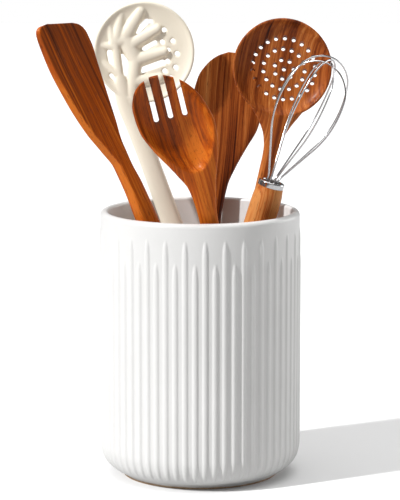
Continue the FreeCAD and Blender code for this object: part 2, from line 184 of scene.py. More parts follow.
def woodMaterial(name, look):
    # Striped wood whose grain runs along the tool, read from the tool's own grain attribute.
    material, shader, place = newMaterial(name, wood["shine"])
    grain = place.make("ShaderNodeAttribute", {}, {"attribute_name": "grain"}, 1)
    # Painted highlight: a share along a lit edge by which the tone is lifted, standing in for the key
    # light.
    sapwood = place.make("ShaderNodeAttribute", {}, {"attribute_name": "sapwood"}, 2)
    x, y, z = grain.parts()

    def layer(key, side):
        rates, shifts, texture = wood[key]
        spots = []
        for part, rate, moved in zip((side, y, z), rates, shifts):
            spots.append(part * rate + look["shift"] * moved)
        return grain.joined(*spots).noise(1.0, *texture)

    wander = layer("wander", x) - noiseMean
    side = x + y * look["slope"] + wander * look["wander"]
    broad, streak, line = (layer(key, side) for key in ("broad", "streak", "line"))
    pores = layer("pore", side).eased(*wood["poreEdges"])
    tone = 0.0
    for stripe, weight in zip((broad, streak, line), wood["weights"]):
        tone = (stripe - noiseMean) * weight + tone
    # The fall changes the tone along the tool: on the spork and the spatula it is painted shade, darker
    # towards the head that turns from the key light.
    tone = tone * look["contrast"] + look["tone"] + z * look["fall"] + sapwood * look.get("sapwood", 0.0)
    ground = tone.clamped().ramp(look["stops"])
    feed((pores * wood["poreShare"]).mixed(ground, wood["poreColour"]), shader, "Base Color")
    dull, dullStreak, dullPore = wood["dull"]
    feed(dull + dullStreak * streak + dullPore * pores, shader, "Roughness")
    coat, coatPore = wood["coat"]
    feed(coat - coatPore * pores, shader, "Coat Weight")
    rise, sink = wood["relief"]
    feed((line * rise - pores * sink).bump(*wood["bump"]), shader, "Normal")
    return material


# Noises are given as a scale and a detail, and bumps as a strength and a distance.
glaze = {
    "shine": {"Specular IOR Level": 0.45, "Coat Roughness": 0.22},
    "cloud": (26.0, 3.0),
    "speck": (900.0, 1.0),
    "creep": (60.0, 2.0),
    "creepReach": 0.0012,
    "footEdge": (0.0009, 0.0017),
    "white": [(0.3, (0.755, 0.752, 0.740)), (0.7, (0.795, 0.790, 0.780))],
    "clay": (420.0, 4.0),
    "clayTones": [(0.3, (0.42, 0.27, 0.16)), (0.7, (0.58, 0.41, 0.27))],
    "dull": (0.82, 0.44, 0.06),  # bare clay, less under glaze, more in clouds
    "coat": 0.16,
    "relief": (0.25, 0.75),  # specks and clouds
    "bump": (0.05, 0.0008),
}


def glazeMaterial():
    # White satin glaze that stops short of the bare clay foot.
    material, shader, place = newMaterial("crockGlaze", glaze["shine"])
    cloud = place.noise(*glaze["cloud"])
    speck = place.noise(*glaze["speck"])
    edge = place.parts()[2] + (place.noise(*glaze["creep"]) - noiseMean) * glaze["creepReach"]
    glazed = edge.eased(*glaze["footEdge"])
    white = cloud.ramp(glaze["white"])
    clay = place.noise(*glaze["clay"]).ramp(glaze["clayTones"])
    feed(glazed.mixed(clay, white), shader, "Base Color")
    dull, dullDrop, dullCloud = glaze["dull"]
    feed(dull - dullDrop * glazed + dullCloud * (cloud - noiseMean), shader, "Roughness")
    feed(glaze["coat"] * glazed, shader, "Coat Weight")
    specks, clouds = glaze["relief"]
    feed((speck * specks + cloud * clouds).bump(*glaze["bump"]), shader, "Normal")
    return material


# Roughness and coat are given with what the noise adds to them.
cream = {
    "shine": {"Specular IOR Level": 0.4, "Coat Roughness": 0.3},
    "cloud": (30.0, 2.0),
    "fine": (1600.0, 2.0),
    "tones": [(0.3, (0.930, 0.853, 0.700)), (0.7, (0.955, 0.886, 0.740))],
    "dull": (0.38, 0.12),
    "coat": (0.08, 0.06),
    "bump": (0.06, 0.0002),
}

brightSteel = {
    "shine": {"Metallic": 1.0},
    "fine": (700.0, 2.0),
    "tones": [(0.3, (0.56, 0.56, 0.57)), (0.7, (0.68, 0.68, 0.69))],
    "dull": (0.1, 0.08),
    "bump": (0.04, 0.0001),
}
wireSteel = {**brightSteel, "dull": (0.14, 0.08)}

darkPlug = {
    "shine": {"Specular IOR Level": 0.3},
    "fine": (1200.0, 2.0),
    "tones": [(0.3, (0.035, 0.034, 0.033)), (0.7, (0.06, 0.058, 0.056))],
    "dull": (0.55, 0.15),
    "bump": (0.1, 0.0002),
}


def evenMaterial(name, finish):
    # One even colour with a fine texture, and a coat and broad clouds where the finish has them.
    material, shader, place = newMaterial(name, finish["shine"])
    fine = place.noise(*finish["fine"])
    tint = fine
    if "cloud" in finish:
        tint = place.noise(*finish["cloud"])
        coat, coatCloud = finish["coat"]
        feed(coat + coatCloud * tint, shader, "Coat Weight")
    feed(tint.ramp(finish["tones"]), shader, "Base Color")
    dull, dullFine = finish["dull"]
    feed(dull + dullFine * fine, shader, "Roughness")
    feed(fine.bump(*finish["bump"]), shader, "Normal")
    return material


weldReach = 1e-6  # metres within which points are one
poleRadius = 1e-5  # metres, for a turned row that lies on its axis
softFactor = 0.5


def newMesh(name, vertices, faces, edges=()):
    mesh = bpy.data.meshes.new(name)
    mesh.from_pydata([tuple(v) for v in vertices], edges, faces)
    mesh.update()
    return mesh


def newObject(name, data):
    thing = bpy.data.objects.new(name, data)
    bpy.context.scene.collection.objects.link(thing)
    return thing


def outward(mesh):
    # Merge doubles and turn every face outwards.
    work = bmesh.new()
    work.from_mesh(mesh)
    bmesh.ops.remove_doubles(work, verts=work.verts, dist=weldReach)
    bmesh.ops.recalc_face_normals(work, faces=work.faces)
    work.to_mesh(mesh)
    work.free()
    return mesh


def skin(name, rings):
    # A closed mesh through rings of equal point counts, with flat ends.
    rings = np.array(rings)
    count, around = rings.shape[:2]
    faces = [list(range(around))[::-1], [(count - 1) * around + i for i in range(around)]]
    for row in range(count - 1):
        low = row * around
        high = low + around
        for i in range(around):
            j = (i + 1) % around
            faces.append([low + i, low + j, high + j, high + i])
    return newMesh(name, rings.reshape(-1, 3), faces)


def circle(count, first, second):
    # Directions all round, from the first to the second and on.
    angle = math.tau * np.arange(count) / count
    return np.cos(angle)[:, None] * first + np.sin(angle)[:, None] * second


def lathe(name, profile, axis, around):
    # A closed mesh from rows of a radius and a height, in millimetres, about the Z axis or the Y axis.
    spin = circle(around, across, deep if axis is up else up)
    rings = [spin * max(radius * mm, poleRadius) + axis * (along * mm) for radius, along in profile]
    return outward(skin(name, rings))


def applied(thing):
    # The object's mesh with its modifiers in it, which then come off.
    bpy.context.view_layer.update()
    graph = bpy.context.evaluated_depsgraph_get()
    mesh = bpy.data.meshes.new_from_object(thing.evaluated_get(graph))
    thing.modifiers.clear()
    thing.data = mesh
    return mesh


def combine(thing, operation, tools):
    # Join or cut other meshes, one after the other.
    for tool in tools:
        other = newObject("tool", tool)
        change = thing.modifiers.new("combine", "BOOLEAN")
        change.operation = operation
        change.solver = "EXACT"
        change.object = other
        applied(thing)
        bpy.data.objects.remove(other)


def gathered(thing, meshes):
    # Add closed meshes to an object's mesh without cutting them together.
    work = bmesh.new()
    work.from_mesh(thing.data)
    for mesh in meshes:
        work.from_mesh(mesh)
    work.to_mesh(thing.data)
    work.free()


def blended(thing, voxel, rounds):
    # Melt overlapping forms into one skin with soft inner corners.
    change = thing.modifiers.new("blend", "REMESH")
    change.mode = "VOXEL"
    change.voxel_size = voxel * mm
    soft = thing.modifiers.new("soft", "SMOOTH")
    soft.factor = softFactor
    soft.iterations = rounds
    return applied(thing)


def between(first, last, share):
    return first + (last - first) * share


def unit(vector):
    return vector / np.linalg.norm(vector)


def slopes(t, y):
    # Monotone slopes, so that a smooth line through the rows doesn't overshoot.
    step = np.diff(t)
    rate = np.diff(y) / step
    result = np.zeros(len(t))
    result[0] = rate[0]
    result[-1] = rate[-1]
    for k in range(1, len(t) - 1):
        if rate[k - 1] * rate[k] > 0:
            one = 2 * step[k] + step[k - 1]
            two = step[k] + 2 * step[k - 1]
            result[k] = (one + two) / (one / rate[k - 1] + two / rate[k])
    return result


fewestSteps = 3  # between two given rows


def smoothRows(rows, fine):
    # More rows on a smooth line through the given ones; the first column is the place along.
    rows = np.array(rows, float)
    t = rows[:, 0]
    bends = np.array([slopes(t, column) for column in rows.T]).T
    result = []
    for k in range(len(t) - 1):
        width = t[k + 1] - t[k]
        a, b = rows[k], rows[k + 1]
        m, n = bends[k] * width, bends[k + 1] * width
        steps = max(fewestSteps, int(round(width * fine)))
        for s in np.arange(steps) / steps:
            row = a * (1 + 2 * s) * (1 - s) ** 2 + m * s * (1 - s) ** 2
            result.append(row + (b * s * s * (3 - 2 * s) + n * s * s * (s - 1)))
    return result + [rows[-1]]


sectionPoints = 84
sectionFit = 0.98  # keeps a section's width inside the faceted solid


def section(x, y, z, left, right, front, back, power, slant=0.0, scoop=0.0, rim=0.0):
    # A ring across a handle, between an oval and a soft rectangle.
    # A scoop hollows its front inside the rim.
    angle = math.tau * np.arange(sectionPoints) / sectionPoints
    c, s = np.cos(angle), np.sin(angle)
    wide = np.where(c > 0, right, left) * sectionFit
    thick = np.where(s > 0, back, front)
    px = x + np.sign(c) * np.abs(c) ** (2 / power) * wide
    py = y + np.sign(s) * np.abs(s) ** (2 / power) * thick
    py = py + np.where(s < 0, scoop * np.maximum(np.abs(s) - rim, 0.0) / (1 - rim), 0.0)
    return np.stack([px, py, z - slant * px], axis=1) * mm


def toolRings(tool):
    # Rings up a tool that is alike left and right.
    rings = []
    for along, wide, thick, bow, square in smoothRows(tool["rows"], tool["fine"]):
        half = tool["thickness"] * thick / 2
        reach = tool["width"] * wide
        x, y, z = tool["bow"] * bow, tool["setBack"] * half, tool["length"] * along
        rings.append(section(x, y, z, reach, reach, half, half, between(*tool["powers"], square)))
    return rings


def leaning(tool):
    # The place of a tool whose handle runs from its foot point to its point at the mouth.
    foot = np.array([*tool["foot"], 0.0]) * crock["mouth"]
    lean = np.array([*tool["lean"], 0.0]) * crock["mouth"]
    foot[2] = crock["floor"]
    lean[2] = crock["height"]
    axis = unit(lean - foot)
    face = unit(axis * axis[1] - deep)
    side = np.cross(axis, face)
    turn = math.radians(tool.get("roll", 0.0))
    front = face * math.cos(turn) + side * math.sin(turn)
    wide = side * math.cos(turn) - face * math.sin(turn)
    place = np.eye(4)
    place[:3, 0], place[:3, 1], place[:3, 2], place[:3, 3] = wide, -front, axis, foot * mm
    return place


def readVertices(mesh):
    flat = np.empty(len(mesh.vertices) * 3)
    mesh.vertices.foreach_get("co", flat)
    return flat.reshape(-1, 3)


def seated(mesh, place, node):
    # Slide a place along its axis until the lowest point is where the node's is.
    lowest = (readVertices(mesh) @ place[:3, :3].T + place[:3, 3])[:, 2].min()
    slide = (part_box(node)[0][2] - lowest) / place[2, 2]
    place = place.copy()
    place[:3, 3] += place[:3, 2] * slide
    return place


def stand(thing, place):
    # Keep a mesh's own coordinates as its grain, then put it at its place.
    mesh = thing.data
    local = readVertices(mesh)
    grain = mesh.attributes.new("grain", "FLOAT_VECTOR", "POINT")
    grain.data.foreach_set("vector", local.ravel().astype(np.float32))
    world = local @ place[:3, :3].T + place[:3, 3]
    mesh.vertices.foreach_set("co", world.ravel())
    mesh.update()


def finishPiece(thing, material, body, nodes, sharp):
    mesh = thing.data
    mesh.materials.clear()
    mesh.materials.append(material)
    mesh.polygons.foreach_set("use_smooth", [True] * len(mesh.polygons))
    mesh.set_sharp_from_angle(angle=math.radians(sharp))
    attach(thing, body)
    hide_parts(*nodes)


woodSharp = 50.0  # degrees past which an edge of a wooden tool is shown sharp


def placeTool(name, tool, mesh, grain=None):
    grain = grain or woodMaterial(name + "Grain", tool["look"])
    outward(mesh)
    thing = newObject(name + "Wood", mesh)
    stand(thing, seated(mesh, leaning(tool), name))
    finishPiece(thing, grain, name, [name], woodSharp)
    print(name, "made")


def nodeGroup(name, numbers):
    # A geometry tree with a mesh going in, named numbers, a material and a mesh coming out.
    tree = bpy.data.node_groups.new(name, "GeometryNodeTree")
    sockets = [("Mesh", "Geometry"), *((key, "Float") for key in numbers), ("Material", "Material")]
    for key, kind in sockets:
        tree.interface.new_socket(key, in_out="INPUT", socket_type="NodeSocket" + kind)
    tree.interface.new_socket("Mesh", in_out="OUTPUT", socket_type="NodeSocketGeometry")
    start = tree.nodes.new("NodeGroupInput")
    return tree, {s.name: Flow(tree, s) for s in start.outputs if s.name}


def closeGroup(tree, given, shape):
    # End a geometry tree in one real mesh that wears the given material.
    whole = shape.make("GeometryNodeRealizeInstances", {"Geometry": shape})
    shown = shape.make("GeometryNodeSetMaterial", {"Geometry": whole, "Material": given["Material"]})
    tree.links.new(shown.socket, tree.nodes.new("NodeGroupOutput").inputs[0])
    return tree


def runGroup(thing, tree, values):
    # Run a geometry tree on an object and keep the result as a plain mesh.
    change = thing.modifiers.new("rule", "NODES")
    change.node_group = tree
    for item in tree.interface.items_tree:
        if item.item_type == "SOCKET" and item.in_out == "INPUT" and item.name in values:
            change[item.identifier] = values[item.name]
    return applied(thing)


crockRadius = 64.2

# Rounds are given with their number of steps.
crock = {
    "height": 172.0,
    "mouth": 59.0,
    "floor": 8.0, "floorShare": 0.5,
    "foot": 2.2, "footRadius": 50.4, "footWidth": 6.0, "footRound": (0.5, 3), "footEdge": 0.4,
    "footFlare": 0.2,
    "corner": (16.0, 19.0, 26), "cornerStart": 0.3,
    "bands": ((134.0, 5), (148.0, 14), (162.0, 14)),  # where rows of the wall end, and how many
    "lipOuter": (2.95, 8), "lipInner": (1.9, 6),
    "innerRows": 8, "innerCorner": (8.0, 8),
    "columns": 832,
    "crown": 0.5,  # how full a rib's top is
    "core": 0.1,  # least radius in the sums for the ribs
    "sharp": 60.0,
    "ribs": {
        "Count": 64.0,
        "First": math.radians(-87.1),
        "Height": 0.8 * mm,
        "Width": 3.7 * mm,
        "Tip Share": 0.35,
        "Radius": crockRadius * mm,
        "Long Top": 161.2 * mm,
        "Short Top": 146.8 * mm,
        "Tip": 11.0 * mm,
        "Foot": 6.2 * mm,
        "Foot Fade": 8.0 * mm,
    },
}


def quarter(start, corner, end, steps):
    # Rows of a rounded corner on a quarter of an oval.
    start, corner, end = (np.array(p) for p in (start, corner, end))
    turn = np.linspace(0, math.pi / 2, steps + 1)
    return [start + (corner - start) * math.sin(a) + (end - corner) * (1 - math.cos(a)) for a in turn]


def crockProfile():
    # Rows of radius and height, from under the floor, up the outside and down the inside.
    outer, top, mouth, low = crockRadius, crock["height"], crock["mouth"], crock["foot"]
    wide, tall, cornerSteps = crock["corner"]
    ring, edge = crock["footRadius"], crock["footEdge"]
    bead, beadSteps = crock["footRound"]
    inside = ring - crock["footWidth"]
    rows = [(0.0, low), (inside - edge, low), (inside, low - edge)]
    rows += quarter((inside, bead), (inside, 0.0), (inside + bead, 0.0), beadSteps)
    rows += quarter((ring - bead, 0.0), (ring, 0.0), (ring, bead), beadSteps)
    rows += [(ring, low - edge), (ring + crock["footFlare"], low)]
    corner = quarter((outer - wide, low), (outer, low), (outer, low + tall), cornerSteps)
    rows += [row for row in corner if row[0] > ring + crock["cornerStart"]]
    begin = low + tall
    for end, steps in crock["bands"]:
        rows += [(outer, z) for z in np.linspace(begin, end, steps + 1)[1:]]
        begin = end
    lip, lipSteps = crock["lipOuter"]
    rows += quarter((outer, top - lip), (outer, top), (outer - lip, top), lipSteps)
    inner, innerSteps = crock["lipInner"]
    rows += quarter((mouth + inner, top), (mouth, top), (mouth, top - inner), innerSteps)
    floor, (bend, bendSteps) = crock["floor"], crock["innerCorner"]
    rows += [(mouth, z) for z in np.linspace(top - inner, floor + bend, crock["innerRows"])[1:-1]]
    rows += quarter((mouth, floor + bend), (mouth, floor), (mouth - bend, floor), bendSteps)
    return rows + [(mouth * crock["floorShare"], floor), (0.0, floor)]


def ribGroup():
    # Raises beads on the outer wall, long and short in turn, pointed at the top.
    tree, given = nodeGroup("crockRibs", list(crock["ribs"]))
    mesh = given["Mesh"]
    x, y, z = mesh.make("GeometryNodeInputPosition").parts()
    nx, ny = mesh.make("GeometryNodeInputNormal").parts()[:2]
    pitch = (mesh.maths("ARCTAN2", y, x) - given["First"]) / math.tau * given["Count"]
    index = mesh.maths("ROUND", pitch)
    odd = mesh.maths("FLOORED_MODULO", index, 2.0)
    off = (pitch - index) * math.tau * given["Radius"] / given["Count"]
    top = given["Long Top"] + (given["Short Top"] - given["Long Top"]) * odd
    point = ((top - z) / given["Tip"]).clamped()
    foot = ((z - given["Foot"]) / given["Foot Fade"]).clamped()
    fade = point * (2.0 - point) * foot * (2.0 - foot)
    half = given["Width"] * 0.5 * (given["Tip Share"] + (1.0 - given["Tip Share"]) * fade)
    bead = (1.0 - (off / half) * (off / half)).most(0.0)
    outside = mesh.maths("GREATER_THAN", x * nx + y * ny, 0.0)
    crown = crock["crown"]
    lift = bead * (1 + crown - crown * bead) * fade * (2.0 - fade) * given["Height"] * outside
    radius = mesh.maths("SQRT", x * x + y * y).most(crock["core"] * mm)
    move = mesh.joined(x / radius * lift, y / radius * lift, 0.0)
    ribbed = mesh.make("GeometryNodeSetPosition", {"Geometry": mesh, "Offset": move})
    return closeGroup(tree, given, ribbed)


def makeCrock():
    white = glazeMaterial()
    thing = newObject("crockBody", lathe("crockBody", crockProfile(), up, crock["columns"]))
    runGroup(thing, ribGroup(), {**crock["ribs"], "Material": white})
    finishPiece(thing, white, "crock", ["crock"], crock["sharp"])
    print("crock made")


# A tool's foot and lean are shares of the mouth's radius, at the floor and at the mouth's height.
# The columns of its rows are shares too, and the first is the place along its length. Powers are
# those of its round and its square sections, and setBack is in half thicknesses.
spatula = {
    "foot": (0.586, -0.419), "lean": (-0.575, -0.598),
    "roll": 36.0,
    "length": 309.5,
    "blade": 36.0,
    "thickness": 9.0,
    "slant": 0.34,
    "powers": (3.8, 13.0),
    "bevels": (1.9, 2.4),  # what the front left edge loses on the handle and on the blade
    "bevelPower": 3,
    "edgeLightStart": 0.94,  # where the painted highlight of the lit left edge starts, from the middle to the left
    "fine": 300,
    "rows": [  # along, left, right, thickness, slant, blade
        (0.000, 0.100, 0.100, 0.35, 0.0, 0.0),
        (0.008, 0.160, 0.160, 0.72, 0.0, 0.0),
        (0.024, 0.195, 0.195, 0.95, 0.0, 0.0),
        (0.200, 0.200, 0.200, 1.00, 0.0, 0.0),
        (0.400, 0.200, 0.200, 1.00, 0.0, 0.0),
        (0.560, 0.192, 0.195, 1.00, 0.0, 0.0),
        (0.640, 0.155, 0.175, 0.94, 0.0, 0.1),
        (0.690, 0.165, 0.130, 0.84, 0.0, 0.3),
        (0.730, 0.275, 0.130, 0.72, 0.1, 0.6),
        (0.780, 0.430, 0.190, 0.62, 0.3, 0.9),
        (0.850, 0.555, 0.265, 0.52, 0.6, 1.0),
        (0.915, 0.610, 0.335, 0.44, 0.9, 1.0),
        (0.955, 0.602, 0.378, 0.37, 1.0, 1.0),
        (0.976, 0.585, 0.376, 0.33, 1.0, 1.0),
        (0.988, 0.550, 0.350, 0.30, 1.0, 0.9),
        (0.996, 0.475, 0.290, 0.26, 1.0, 0.6),
        (1.000, 0.350, 0.190, 0.20, 1.0, 0.4),
    ],
    "look": {
        # Painted shade: the tone falls towards the blade, which turns away from the key light.
        "shift": 3.1, "slope": 0.6, "wander": 0.010, "contrast": 1.0,
        # Painted highlight: the left edge's share lifts the tone, as if the key light caught it.
        "tone": 1.44, "fall": -2.95, "sapwood": 0.62, "stops": reddish,
    },
}


def makeSpatula():
    rings, pale = [], []
    wide, edgeLightStart = spatula["blade"], spatula["edgeLightStart"]
    for along, left, right, thick, slant, blade in smoothRows(spatula["rows"], spatula["fine"]):
        half = spatula["thickness"] * thick / 2
        power = between(*spatula["powers"], blade)
        z = spatula["length"] * along
        ring = section(0, 0, z, wide * left, wide * right, half, half, power, spatula["slant"] * slant)
        frontness = (1 - ring[:, 1] / (half * mm)) / 2
        leftness = np.maximum(-ring[:, 0] / (wide * left * mm), 0.0)
        bevel = between(*spatula["bevels"], blade) * mm
        ring[:, 0] += bevel * frontness * leftness ** spatula["bevelPower"]
        rings.append(ring)
        # Painted highlight: the left edge gets paler, as if lit by the key light.
        pale.append(np.clip((leftness - edgeLightStart) / (1 - edgeLightStart), 0.0, 1.0))
    mesh = skin("spatula", rings)
    sapwood = mesh.attributes.new("sapwood", "FLOAT", "POINT")
    sapwood.data.foreach_set("value", np.concatenate(pale))
    placeTool("spatula", spatula, mesh)


paddle = {
    "foot": (-0.139, 0.720), "lean": (0.188, 0.844),
    "length": 262.0,
    "width": 48.0, "thickness": 8.5, "bow": 0.0, "setBack": 0.0, "powers": (2.4, 4.5),
    "fine": 120,
    "rows": [  # along, half width, thickness, bow, squareness
        (0.000, 0.045, 0.40, 0.0, 0.0),
        (0.010, 0.090, 0.78, 0.0, 0.0),
        (0.030, 0.112, 0.98, 0.0, 0.0),
        (0.250, 0.110, 1.00, 0.0, 0.0),
        (0.480, 0.090, 1.00, 0.0, 0.0),
        (0.580, 0.092, 0.98, 0.0, 0.1),
        (0.665, 0.130, 0.92, 0.0, 0.3),
        (0.715, 0.215, 0.86, 0.0, 0.6),
        (0.765, 0.330, 0.80, 0.0, 0.9),
        (0.820, 0.458, 0.74, 0.0, 1.0),
        (0.880, 0.500, 0.66, 0.0, 1.0),
        (0.930, 0.460, 0.56, 0.0, 1.0),
        (0.966, 0.350, 0.48, 0.0, 1.0),
        (0.988, 0.220, 0.42, 0.0, 1.0),
        (1.000, 0.080, 0.36, 0.0, 1.0),
    ],
    "look": {
        "shift": 7.7, "slope": 0.3, "wander": 0.012, "contrast": 1.0,
        "tone": 0.53, "fall": 0.0, "stops": golden,
    },
}


def makePaddle():
    placeTool("paddle", paddle, skin("paddle", toolRings(paddle)))


spork = {
    "foot": (0.703, -0.027), "lean": (0.081, -0.851),
    "length": 275.0,
    "head": 47.0,
    "thickness": 9.0,
    "depth": 11.5,
    "bend": 11.0,
    "power": 2.3,
    "scoop": 11.0,
    "fine": 180,
    "rows": [  # along, half width, front, back, bend, scoop, rim
        (0.000, 0.040, 0.40, 0.16, 0.00, 0.00, 0.98),
        (0.010, 0.090, 0.78, 0.31, 0.00, 0.00, 0.98),
        (0.030, 0.122, 0.98, 0.39, 0.00, 0.00, 0.98),
        (0.250, 0.126, 1.00, 0.39, 0.00, 0.00, 0.98),
        (0.500, 0.118, 1.00, 0.39, 0.00, 0.00, 0.98),
        (0.640, 0.128, 0.96, 0.40, -0.08, 0.00, 0.98),
        (0.720, 0.190, 0.84, 0.46, -0.16, 0.00, 0.98),
        (0.762, 0.282, 0.72, 0.61, -0.06, 0.00, 0.98),
        (0.766, 0.291, 0.71, 0.63, -0.05, 0.24, 0.95),
        (0.774, 0.311, 0.70, 0.66, -0.02, 0.44, 0.89),
        (0.786, 0.340, 0.68, 0.71, 0.02, 0.61, 0.80),
        (0.803, 0.381, 0.65, 0.80, 0.10, 0.77, 0.66),
        (0.830, 0.440, 0.62, 0.91, 0.22, 0.91, 0.50),
        (0.880, 0.500, 0.58, 1.00, 0.46, 1.00, 0.36),
        (0.930, 0.468, 0.46, 0.86, 0.70, 0.82, 0.36),
        (0.968, 0.370, 0.33, 0.60, 0.88, 0.46, 0.42),
        (0.990, 0.240, 0.23, 0.42, 0.98, 0.24, 0.50),
        (1.000, 0.120, 0.17, 0.34, 1.00, 0.10, 0.60),
    ],
    "slotBend": 0.70,  # share of the bend at which the slots stand
    "slotWidth": 3.2, "slotPitch": 9.0, "slotLength": 31.0, "slotOver": 8.0, "slotDepth": 20.0,
    "look": {
        "shift": 12.4, "slope": 0.5, "wander": 0.012, "contrast": 0.9,
        # Painted shade: the tone falls towards the tines, which face away from the key light.
        "tone": 1.74, "fall": -4.4, "stops": reddish,
    },
}

slotEndPoints = 13


def stadium(start, end, width, depth):
    # A slot's prism in the XZ plane, from -depth to +depth in Y, round at both ends.
    start, end = np.array([start[0], 0, start[1]]), np.array([end[0], 0, end[1]])
    along = unit(end - start)
    side = np.array([-along[2], 0, along[0]])
    ring = []
    for place, way, flank in ((start, -along, side), (end, along, -side)):
        for angle in np.linspace(0, math.pi, slotEndPoints):
            ring.append(place + (flank * math.cos(angle) + way * math.sin(angle)) * width / 2)
    ring = np.array(ring)
    return outward(skin("slot", np.array([ring - deep * depth, ring + deep * depth]) * mm))


def makeSpork():
    rings = []
    for along, wide, front, back, bend, scoop, rim in smoothRows(spork["rows"], spork["fine"]):
        reach = spork["head"] * wide
        ahead = spork["thickness"] * front / 2
        behind = spork["depth"] * back
        x, z = -spork["bend"] * bend, spork["length"] * along
        hollow = spork["scoop"] * scoop
        rings.append(section(x, 0, z, reach, reach, ahead, behind, spork["power"], 0.0, hollow, rim))
    thing = newObject("sporkBlank", outward(skin("spork", rings)))
    slots = []
    start, end = spork["length"] - spork["slotLength"], spork["length"] + spork["slotOver"]
    for index in (-1, 0, 1):
        x = index * spork["slotPitch"] - spork["bend"] * spork["slotBend"]
        slots.append(stadium((x, start), (x, end), spork["slotWidth"], spork["slotDepth"]))
    combine(thing, "DIFFERENCE", slots)
    mesh = thing.data
    bpy.data.objects.remove(thing)
    placeTool("spork", spork, mesh)


skimmer = {
    "foot": (0.146, 0.214), "lean": (0.632, 0.247),
    "length": 257.2,  # to the middle of its head
    "radius": 32.0,
    "edge": 3.2,
    "depth": 6.5,
    "floor": 3.4,
    "bowl": ((0.0, 1.0), (0.30, 0.99), (0.55, 0.93), (0.76, 0.74), (0.90, 0.42), (0.985, 0.02)),
    "width": 11.0, "thickness": 8.5, "bow": 2.3, "setBack": 1.0, "powers": (2.3, 2.6),
    "fine": 120,
    "rows": [  # along, half width, thickness, bow, squareness
        (0.000, 0.24, 0.40, 0.0, 0.0),
        (0.010, 0.42, 0.78, 0.0, 0.0),
        (0.032, 0.53, 0.98, 0.0, 0.0),
        (0.250, 0.52, 1.00, 0.0, 0.0),
        (0.500, 0.47, 1.00, 0.0, 0.0),
        (0.650, 0.44, 1.00, 0.3, 0.1),
        (0.735, 0.43, 0.98, 0.7, 0.3),
        (0.790, 0.46, 0.94, 1.0, 0.6),
        (0.824, 0.62, 0.88, 1.0, 0.9),
        (0.855, 0.95, 0.84, 0.8, 1.0),
        (0.888, 1.48, 0.80, 0.4, 1.0),
        (0.925, 2.00, 0.74, 0.0, 1.0),
        (0.960, 2.20, 0.60, 0.0, 1.0),
    ],
    "voxel": 0.55, "softRounds": 10,
    "holes": {"Hole": 2.9 * mm, "Pitch": 6.0 * mm, "Depth": 40.0 * mm},
    "rings": (6.6, 14.0, 21.2),
    "fewestHoles": 3.0,
    "squash": (0.96, 0.84),  # of the rings, across and along
    "drill": (-0.44, -0.08),  # its lean along and across, in radians
    "drillShift": (0.9, 2.2),  # across and along
    "drillFacets": 20,
    "look": {
        "shift": 18.9, "slope": 0.4, "wander": 0.014, "contrast": 0.8,
        "tone": 0.86, "fall": -1.0, "stops": golden,
    },
}

dish = {
    "facets": 96,
    "fine": 60,
    "rimShare": 0.3,  # of the edge's thickness, for how far the rim bulges
    "rimTurn": 1.4, "rimPoints": 11,
    "cutLip": 0.3, "cutFlare": 0.5, "cutOver": 8.0,
}


def dishForms(head, height=0.0):
    # The outer form and the hollow of a dish that faces -Y.
    edge, depth, back = head["edge"], head["depth"], head["depth"] + head["floor"]
    bulge = edge * dish["rimShare"]
    rim = head["radius"] - bulge
    inner, outer = [(0.0, depth)], [(0.0, back)]
    for r, d in smoothRows(head["bowl"], dish["fine"])[1:]:
        inner.append((rim * r, depth * d))
        outer.append((rim * r, between(edge, back, d)))
    flare, over = rim + dish["cutFlare"], -dish["cutOver"]
    inner += [(rim, -dish["cutLip"]), (flare, over), (0.0, over)]
    for a in np.linspace(-dish["rimTurn"], dish["rimTurn"], dish["rimPoints"]):
        outer.append((rim + bulge * math.cos(a), edge / 2 - edge / 2 * math.sin(a)))
    forms = [lathe("dish", rows, deep, dish["facets"]) for rows in (outer + [(0.0, 0.0)], inner)]
    for form in forms:
        form.transform(Matrix.Translation((0, 0, height * mm)))
    return forms


def drillGroup():
    # Sets a drill on rings of points round the head and takes all of them out of the mesh.
    tree, given = nodeGroup("skimmerHoles", list(skimmer["holes"]) + ["Centre"])
    mesh = given["Mesh"]
    bit = mesh.make("GeometryNodeMeshCylinder", {
        "Vertices": skimmer["drillFacets"], "Radius": given["Hole"] * 0.5, "Depth": given["Depth"]})
    spots = [mesh.make("GeometryNodePoints", {"Count": 1})]
    for radius in skimmer["rings"]:
        reach = radius * mm
        wide, tall = (reach * share for share in skimmer["squash"])
        count = mesh.maths("ROUND", math.tau * reach / given["Pitch"]).most(skimmer["fewestHoles"])
        ring = mesh.make("GeometryNodeMeshCircle", {"Vertices": count, "Radius": reach})
        index = mesh.make("GeometryNodeInputIndex")
        turn = (index + 0.5) / count * math.tau
        place = mesh.joined(mesh.maths("SINE", turn) * wide, mesh.maths("COSINE", turn) * tall, 0.0)
        spots.append(mesh.make("GeometryNodeSetPosition", {"Geometry": ring, "Position": place}))
    bits = []
    for spot in spots:
        bits.append(mesh.make("GeometryNodeInstanceOnPoints", {"Points": spot, "Instance": bit}))
    drills = mesh.make("GeometryNodeJoinGeometry", {"Geometry": bits})
    leanAlong, leanAcross = skimmer["drill"]
    shiftX, shiftZ = (shift * mm for shift in skimmer["drillShift"])
    turned = mesh.make("GeometryNodeTransform", {
        "Geometry": drills,
        "Rotation": (math.pi / 2 + leanAlong, 0.0, leanAcross),
        "Translation": mesh.joined(shiftX, 0.0, given["Centre"] + shiftZ)})
    whole = mesh.make("GeometryNodeRealizeInstances", {"Geometry": turned})
    cut = mesh.make("GeometryNodeMeshBoolean", {"Mesh 1": mesh, "Mesh 2": whole}, {
        "operation": "DIFFERENCE", "solver": "EXACT"})
    return closeGroup(tree, given, cut)


